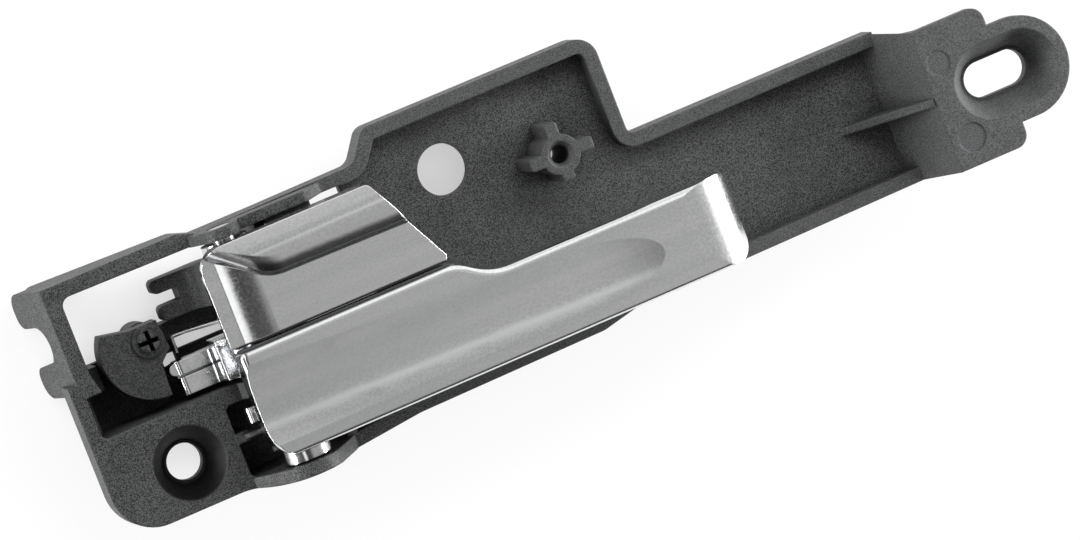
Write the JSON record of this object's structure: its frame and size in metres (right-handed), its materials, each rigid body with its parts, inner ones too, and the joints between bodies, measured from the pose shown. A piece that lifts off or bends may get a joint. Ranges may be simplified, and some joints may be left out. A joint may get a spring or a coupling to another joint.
{
  "type": "car interior door handle",
  "caption": "Car interior door handle: dark moulded housing with a chromed pull lever and lock tab on one steel shaft, forked latch crank, bell crank and screw mounts.",
  "frame": {"origin": "centre of the bounding box's lower face, on the plane of the housing's back ribs", "axes": "+X along the handle from the hinged end to the slotted end, +Y up the door as fitted, +Z out of the door towards the cabin"},
  "size_m": [0.225, 0.0608, 0.031],
  "materials": {
    "housing_plastic": "fine moulded grain",
    "crank_plastic": "smooth moulded",
    "chrome": "satin bright plating",
    "steel": "drawn",
    "rubber": "moulded"
  },
  "bodies": {
    "housing": {"housing": "housing_plastic", "lever_bumper": "rubber", "lock_bumper": "rubber", "pull_return_spring": "steel", "lock_detent_spring": "steel"},
    "pull": {"pull_lever": "chrome", "pivot_shaft": "steel", "shaft_clip": "steel", "latch_crank": "crank_plastic"},
    "lock": {"lock_lever": "chrome"},
    "crank": {"lock_bell_crank": "crank_plastic"}
  },
  "joints": [
    {"name": "pull_pivot", "type": "hinge", "parent": "housing", "child": "pull", "pos_m": [-0.0705, 0, 0.021], "axis": [0, -1, 0], "range_deg": [0, 38], "stiffness_Nm_per_rad": 1.2, "springref_deg": -28.65, "deforming": ["pull_return_spring"]},
    {"name": "lock_pivot", "type": "hinge", "parent": "housing", "child": "lock", "pos_m": [-0.0705, 0, 0.021], "axis": [0, -1, 0], "range_deg": [0, 14], "deforming": ["lock_detent_spring"]},
    {"name": "crank_pivot", "type": "hinge", "parent": "housing", "child": "crank", "pos_m": [-0.0912, 0.0066, 0.01], "axis": [0, 0, 1], "range_deg": [0, 24]}
  ],
  "couplings": [
    {"joint": "crank_pivot", "follows": "lock_pivot", "ratio": 1.65}
  ]
}
